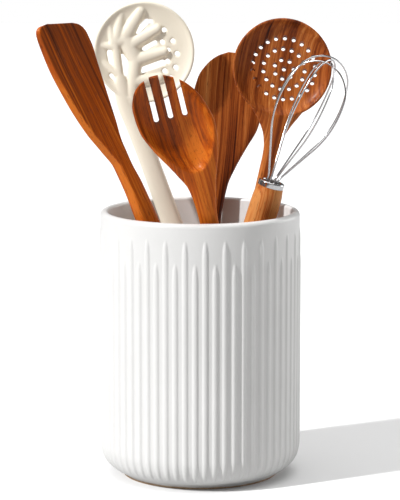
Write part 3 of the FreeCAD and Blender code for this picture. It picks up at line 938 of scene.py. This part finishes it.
def makeSkimmer():
    thing = newObject("skimmerBlank", outward(skin("skimmer", toolRings(skimmer))))
    outer, inner = dishForms(skimmer, skimmer["length"])
    combine(thing, "UNION", [outer])
    combine(thing, "DIFFERENCE", [inner])
    blended(thing, skimmer["voxel"], skimmer["softRounds"])
    grain = woodMaterial("skimmerGrain", skimmer["look"])
    values = {**skimmer["holes"], "Centre": skimmer["length"] * mm, "Material": grain}
    mesh = runGroup(thing, drillGroup(), values)
    bpy.data.objects.remove(thing)
    placeTool("skimmer", skimmer, mesh, grain)


# On the head, places are shares of its radius, across and up from its middle.
server = {
    "foot": (0.598, 0.458), "lean": (-0.400, 0.568),
    "length": 284.0,
    "width": 14.0, "thickness": 9.5, "bow": 10.0, "setBack": 1.0, "powers": (2.2, 2.2),
    "fine": 120,
    "rows": [  # along, half width, thickness, bow, squareness
        (0.000, 0.22, 0.45, 0.00, 0.0),
        (0.010, 0.38, 0.80, 0.00, 0.0),
        (0.030, 0.49, 0.98, 0.00, 0.0),
        (0.250, 0.50, 1.00, 0.00, 0.0),
        (0.500, 0.50, 1.00, 0.00, 0.0),
        (0.700, 0.47, 0.95, 0.00, 0.0),
        (0.800, 0.44, 0.90, -0.10, 0.0),
        (0.850, 0.42, 0.84, -0.18, 0.0),
        (0.890, 0.39, 0.74, -0.06, 0.0),
        (0.904, 0.34, 0.66, 0.02, 0.0),
        (0.916, 0.22, 0.44, 0.08, 0.0),
        (0.922, 0.08, 0.18, 0.10, 0.0),
    ],
    "bendHeight": 245.5,
    "centre": (0.64, 0.74),  # of the head from the bend, in shares of its radius
    "turn": 19.0,
    "radius": 33.0,
    "edge": 3.0,
    "depth": 3.6,
    "floor": 3.4,
    "bowl": ((0.0, 1.0), (0.30, 0.98), (0.55, 0.91), (0.76, 0.72), (0.90, 0.40), (0.985, 0.02)),
    "flat": 0.72,  # a finger's thickness to its width
    "sunk": 0.5,  # of a fingertip's half thickness, above the floor
    "stemInset": 0.2,  # behind the rim's face
    "stems": (  # start, tip, radius at each
        ((-0.43, -1.00), (-0.57, 0.20), 3.0, 2.8),
        ((-0.28, -1.00), (-0.17, -0.16), 4.2, 4.6),
        ((-0.17, -0.16), (-0.34, 0.22), 4.6, 7.0),
        ((-0.54, 0.22), (-0.36, 0.24), 4.4, 5.8),
    ),
    "fingers": (  # start, tip, radius at each
        ((-0.54, 0.28), (-0.42, 0.83), 3.8, 2.0),
        ((-0.36, 0.32), (-0.06, 0.80), 5.2, 3.4),
        ((-0.22, 0.17), (0.27, 0.45), 4.4, 3.0),
        ((-0.16, -0.16), (0.40, 0.00), 4.6, 2.9),
        ((-0.20, -0.58), (0.30, -0.52), 4.2, 2.8),
        ((-0.60, 0.20), (-0.69, 0.58), 2.6, 1.6),
        ((-0.57, 0.10), (-0.90, 0.16), 2.6, 1.8),
        ((-0.53, -0.42), (-0.85, -0.16), 2.4, 1.8),
        ((-0.47, -0.80), (-0.74, -0.50), 2.4, 1.8),
    ),
    "fingerTip": 0.05,  # radians off the end at which a finger's first row lies
    "fingerRows": 8, "fingerFacets": 24,
    "slots": (  # start, end, width
        ((-0.14, 0.40), (0.06, 0.60), 3.8),
        ((0.00, 0.06), (0.22, 0.18), 3.0),
        ((-0.04, -0.36), (0.36, -0.22), 4.0),
        ((-0.40, -0.10), (-0.41, -0.52), 5.4),
        ((-0.68, 0.00), (-0.64, -0.22), 4.0),
        ((-0.66, -0.46), (-0.58, -0.62), 3.0),
    ),
    "hole": 3.4,
    "holeHalf": 0.02,  # half the straight part of a hole's outline
    "holes": (
        (0.14, 0.60), (0.40, 0.43), (0.36, 0.19), (0.57, 0.21), (0.47, 0.03),
        (0.65, -0.04), (0.46, -0.19), (0.62, -0.31), (0.40, -0.38), (0.52, -0.52),
    ),
    "cutDepth": 30.0,
    "voxel": 0.5, "softRounds": 10,
    "sharp": 35.0,
}


def fingerForm(start, end, first, last):
    # A tapered finger with round ends, flatter than it is wide, in millimetres.
    start, end = np.array(start, float), np.array(end, float)
    length = np.linalg.norm(end - start)
    axis = (end - start) / length
    side = unit(np.cross(axis, deep))
    other = np.cross(axis, side)
    turn = np.linspace(server["fingerTip"], math.pi / 2, server["fingerRows"])
    rows = [(-first * math.cos(a), first * math.sin(a)) for a in turn]
    rows += [(length + last * math.cos(a), last * math.sin(a)) for a in turn[::-1]]
    spin = circle(server["fingerFacets"], side, other * server["flat"])
    return outward(skin("finger", np.array([start + axis * along + spin * r for along, r in rows]) * mm))


def serverCuts():
    # The slots and the drain holes of the head.
    radius, tip, depth = server["radius"], np.array([0.0, server["holeHalf"]]), server["cutDepth"]
    cuts = []
    for start, end, width in server["slots"]:
        cuts.append(stadium(radius * np.array(start), radius * np.array(end), width, depth))
    for hole in server["holes"]:
        middle = radius * np.array(hole)
        cuts.append(stadium(middle - tip, middle + tip, server["hole"], depth))
    return cuts


def serverBranches():
    # Stems that lie just behind the rim's face, then fingers that run down into the hollow.
    flat, inset = server["flat"], server["stemInset"]
    branches = []
    for key in ("stems", "fingers"):
        for start, tip, first, last in server[key]:
            rest = last * flat + inset if key == "stems" else server["depth"] - last * flat * server["sunk"]
            (x, z), (tipX, tipZ) = (server["radius"] * np.array(place) for place in (start, tip))
            branches.append(fingerForm((x, first * flat + inset, z), (tipX, rest, tipZ), first, last))
    return branches


def makeServer():
    outer, inner = dishForms(server)
    thing = newObject("serverCreamBody", outer)
    combine(thing, "DIFFERENCE", [inner] + serverCuts())
    gathered(thing, serverBranches())
    x, z = (server["radius"] * share for share in server["centre"])
    shift = Matrix.Translation((x * mm, 0, (server["bendHeight"] + z) * mm))
    thing.data.transform(shift @ Matrix.Rotation(math.radians(server["turn"]), 4, "Y"))
    gathered(thing, [outward(skin("server", toolRings(server)))])
    blended(thing, server["voxel"], server["softRounds"])
    stand(thing, seated(thing.data, leaning(server), "server"))
    plastic = evenMaterial("serverCream", cream)
    finishPiece(thing, plastic, "server", ["server"], server["sharp"])
    print("server made")


whisk = {
    "foot": (-0.139, 0.010), "lean": (0.678, -0.164),
    "length": 187.0,
    "radius": 9.7,
    "fine": 90,
    "rows": [  # along, radius
        (0.000, 0.42),
        (0.008, 0.68),
        (0.025, 0.82),
        (0.250, 0.86),
        (0.500, 0.93),
        (0.750, 0.98),
        (0.880, 1.00),
        (0.960, 0.97),
        (1.000, 0.866),
    ],
    "facets": 64,
    "spigot": 6.9, "spigotHeight": 2.4,
    "capRadius": 8.4, "capHeight": 3.6, "capRound": 0.8, "capRoundSteps": 6, "capEdge": 0.15,
    "seat": 0.05,  # gap under the cap, and drop at the plug's edge
    "recess": 1.2,
    "ease": 0.3,  # small edges of the bore and the plug
    "plugRadius": 5.6, "plugGap": 0.1, "plugFacets": 48,
    "wireRadius": 0.6,
    "wireDraw": 0.56,  # radius at which a wire is drawn, inside its solid
    "wireFacets": 12,
    "loops": 4, "gap": 0.35,
    "ring": 3.7,  # radius on which the wires leave the plug
    "socket": 5.0,
    "bendRadius": 12.0, "bendSteps": 12, "sideRadius": 62.0, "sideSteps": 40, "topSteps": 30,
    "width": 42.8, "tall": 87.8,
    "belly": 0.63,  # share of the height at which a loop is widest
    "bend": 9.0,  # degrees by which the loops lean off the handle
    "firstLoop": 20.0,
    "sharp": 40.0, "wireSharp": 60.0,
    "look": {
        "shift": 25.3, "slope": 0.8, "wander": 0.008, "contrast": 1.1,
        "tone": 0.85, "fall": 0.0, "stops": golden,
    },
}


def wirePath(loop):
    # One loop in the XZ plane: up from its socket, out, round the belly and over the top.
    tall = whisk["tall"] - loop * (2 * whisk["wireRadius"] + whisk["gap"])
    belly = whisk["tall"] * whisk["belly"]
    sideRadius, bendRadius = whisk["sideRadius"], whisk["bendRadius"]
    side = np.array([whisk["width"] / 2 - sideRadius, belly])
    rise = tall - belly
    topRadius = (sideRadius**2 - side[0] ** 2 - rise**2) / (2 * (sideRadius - rise))
    top = np.array([0.0, tall - topRadius])
    bend = np.array([whisk["ring"] + bendRadius, 0.0])
    gap = side - bend
    lean = math.atan2(gap[1], gap[0]) - math.asin((sideRadius + bendRadius) / np.linalg.norm(gap))
    leanTurn = math.pi / 2 - lean
    topTurn = math.atan2(top[1] - side[1], top[0] - side[0])
    path = [np.array([whisk["ring"], -whisk["socket"]])]
    for pivot, radius, first, last, steps, skipped in (
        (bend, -bendRadius, 0.0, -leanTurn, whisk["bendSteps"], 0),
        (side, sideRadius, -leanTurn, topTurn, whisk["sideSteps"], 0),
        (top, topRadius, topTurn, math.pi / 2, whisk["topSteps"], 1),
    ):
        for angle in np.linspace(first, last, steps + 1)[skipped:]:
            path.append(pivot + radius * np.array([math.cos(angle), math.sin(angle)]))
    path += [point * np.array([-1.0, 1.0]) for point in reversed(path[:-1])]
    return np.array([(x, 0.0, z) for x, z in path]) * mm


def wireGroup():
    # Draws round wire along a path of edges.
    tree, given = nodeGroup("whiskWire", ["Radius"])
    mesh = given["Mesh"]
    path = mesh.make("GeometryNodeMeshToCurve", {"Mesh": mesh})
    outline = mesh.make("GeometryNodeCurvePrimitiveCircle", {
        "Resolution": whisk["wireFacets"], "Radius": given["Radius"]}, {"mode": "RADIUS"})
    tube = mesh.make("GeometryNodeCurveToMesh", {
        "Curve": path, "Profile Curve": outline, "Fill Caps": True})
    return closeGroup(tree, given, tube)


def handleRows():
    # The turned handle, with the spigot that the cap sits on.
    top, spigot = whisk["length"], whisk["spigot"]
    rows = [(0.0, 0.0)]
    for along, share in smoothRows(whisk["rows"], whisk["fine"]):
        rows.append((whisk["radius"] * share, top * along))
    spigotTop = top + whisk["spigotHeight"]
    return rows + [(spigot, top), (spigot, spigotTop), (0.0, spigotTop)]


def capRows(capTop):
    # The cap, with a shallow recess for the end of the plug.
    cap, bevel, edge, ease = (whisk[key] for key in ("capRadius", "capRound", "capEdge", "ease"))
    low, recess = whisk["length"] + whisk["seat"], capTop - whisk["recess"]
    bore = whisk["plugRadius"] + whisk["plugGap"]
    rows = [(0.0, low), (cap - edge, low), (cap, low + edge)]
    rows += quarter((cap, capTop - bevel), (cap, capTop), (cap - bevel, capTop), whisk["capRoundSteps"])
    return rows + [(bore + ease, capTop), (bore, capTop - ease), (bore, recess), (0.0, recess)]


def plugRows(capTop):
    # The plug's end, eased at both edges and a little proud in its middle.
    plug, ease = whisk["plugRadius"], whisk["ease"]
    low = capTop - whisk["recess"] + whisk["plugGap"]
    rows = [(0.0, low), (plug - ease, low), (plug, low + ease), (plug, capTop - ease)]
    return rows + [(plug - ease, capTop - whisk["seat"]), (0.0, capTop)]


def makeWhisk():
    capTop = whisk["length"] + whisk["capHeight"]
    handle = lathe("whiskHandle", handleRows(), up, whisk["facets"])
    cap = lathe("whiskCap", capRows(capTop), up, whisk["facets"])
    plug = lathe("whiskPlug", plugRows(capTop), up, whisk["plugFacets"])
    place = seated(handle, leaning(whisk), "whisk_handle")
    grain = woodMaterial("whiskGrain", whisk["look"])
    bright = evenMaterial("brightSteel", brightSteel)
    grey = evenMaterial("whiskPlugGrey", darkPlug)
    for name, mesh, material, slot, node in (
        ("whiskHandleWood", handle, grain, "striped_wood", "whisk_handle"),
        ("whiskCapSteel", cap, bright, "bright_steel", "whisk_ferrule"),
        ("whiskPlugEnd", plug, grey, "dark_plug", "whisk_plug"),
    ):
        thing = newObject(name, mesh)
        stand(thing, place)
        finishPiece(thing, material, "whisk", [node], whisk["sharp"])

    tree = wireGroup()
    steel = evenMaterial("wireSteel", wireSteel)
    lifted = Matrix.Translation((0, 0, capTop * mm)) @ Matrix.Rotation(math.radians(whisk["bend"]), 4, "Y")
    for loop in range(whisk["loops"]):
        path = wirePath(loop)
        mesh = newMesh("whiskLoop", path, [], [(i, i + 1) for i in range(len(path) - 1)])
        thing = newObject("whiskLoop%d" % (loop + 1), mesh)
        runGroup(thing, tree, {"Radius": whisk["wireDraw"] * mm, "Material": steel})
        turn = math.radians(whisk["firstLoop"] + 180 * loop / whisk["loops"])
        thing.data.transform(lifted @ Matrix.Rotation(turn, 4, "Z"))
        outward(thing.data)
        stand(thing, place)
        node = "whisk_wire_%d" % (loop + 1)
        finishPiece(thing, steel, "whisk", [node], whisk["wireSharp"])
    print("whisk made")


makeCrock()
makeSpatula()
makePaddle()
makeSpork()
makeSkimmer()
makeServer()
makeWhisk()

studio = {
    "key": 3.2, "keyRise": 36.0, "keyWay": 29.0, "keySpread": 3.0,
    "top": 1.75, "topSpread": 60.0,
    "fill": 1.2, "fillFrom": (2.8, 1.6, 0.55), "fillSpread": 40.0,
    "surround": 0.12,
    "floorHalf": 4.0,
    "floorShine": {"Roughness": 0.9, "Specular IOR Level": 0.1},
    "floorSeen": 0.96, "floorBounce": 0.62,
}

# The camera's focal length is in pixels of a picture of the given height.
view = {
    "distance": 1.650, "elevation": 9.2,
    "target": (0.0, 0.0, 0.1458),
    "focal": 2560.0, "picture": 500.0, "sensor": 36.0, "clipEnd": 50.0,
}


def aim(thing, place, target):
    thing.location = place
    thing.rotation_euler = (Vector(target) - thing.location).to_track_quat("-Z", "Y").to_euler()


def makeCamera():
    data = bpy.data.cameras.new("camera")
    data.lens = view["focal"] / view["picture"] * view["sensor"]
    data.sensor_width = view["sensor"]
    data.clip_end = view["clipEnd"]
    camera = newObject("camera", data)
    rise = math.radians(view["elevation"])
    back = Vector((0, -math.cos(rise), math.sin(rise))) * view["distance"]
    aim(camera, Vector(view["target"]) + back, view["target"])
    bpy.context.scene.camera = camera


def seenAs(tree, shown, real):
    # One value for the camera and another for all other rays.
    seen = Flow(tree, tree.nodes.new("ShaderNodeLightPath").outputs["Is Camera Ray"])
    return between(real, shown, seen)


def makeFloor():
    half = studio["floorHalf"]
    corners = [(-half, -half, 0), (half, -half, 0), (half, half, 0), (-half, half, 0)]
    floor = newObject("floor", newMesh("floor", corners, [[0, 1, 2, 3]]))
    material, shader, place = newMaterial("floorWhite", studio["floorShine"])
    feed(seenAs(place.tree, studio["floorSeen"], studio["floorBounce"]), shader, "Base Color")
    floor.data.materials.append(material)


def makeLight(name, place):
    data = bpy.data.lights.new(name, "SUN")
    data.energy = studio[name]
    data.angle = math.radians(studio[name + "Spread"])
    aim(newObject(name, data), place, (0, 0, 0))


def makeStudio():
    # A firm key from the left, a wide soft top light and a low fill from behind on the right.
    # The surround is dim, but the camera sees it as white.
    rise, way = math.radians(studio["keyRise"]), math.radians(studio["keyWay"])
    flat = math.cos(rise)
    makeLight("key", Vector((-math.cos(way) * flat, -math.sin(way) * flat, math.sin(rise))))
    makeLight("top", Vector((0, 0, 1)))
    makeLight("fill", studio["fillFrom"])
    world = bpy.data.worlds.new("studio")
    world.use_nodes = True
    tree = world.node_tree
    back = tree.nodes["Background"]
    back.inputs["Color"].default_value = (1.0, 1.0, 1.0, 1.0)
    feed(seenAs(tree, 1.0, studio["surround"]), back, "Strength")
    bpy.context.scene.world = world
    bpy.context.scene.view_settings.view_transform = "Standard"


makeCamera()
makeFloor()
makeStudio()
print("studio made")
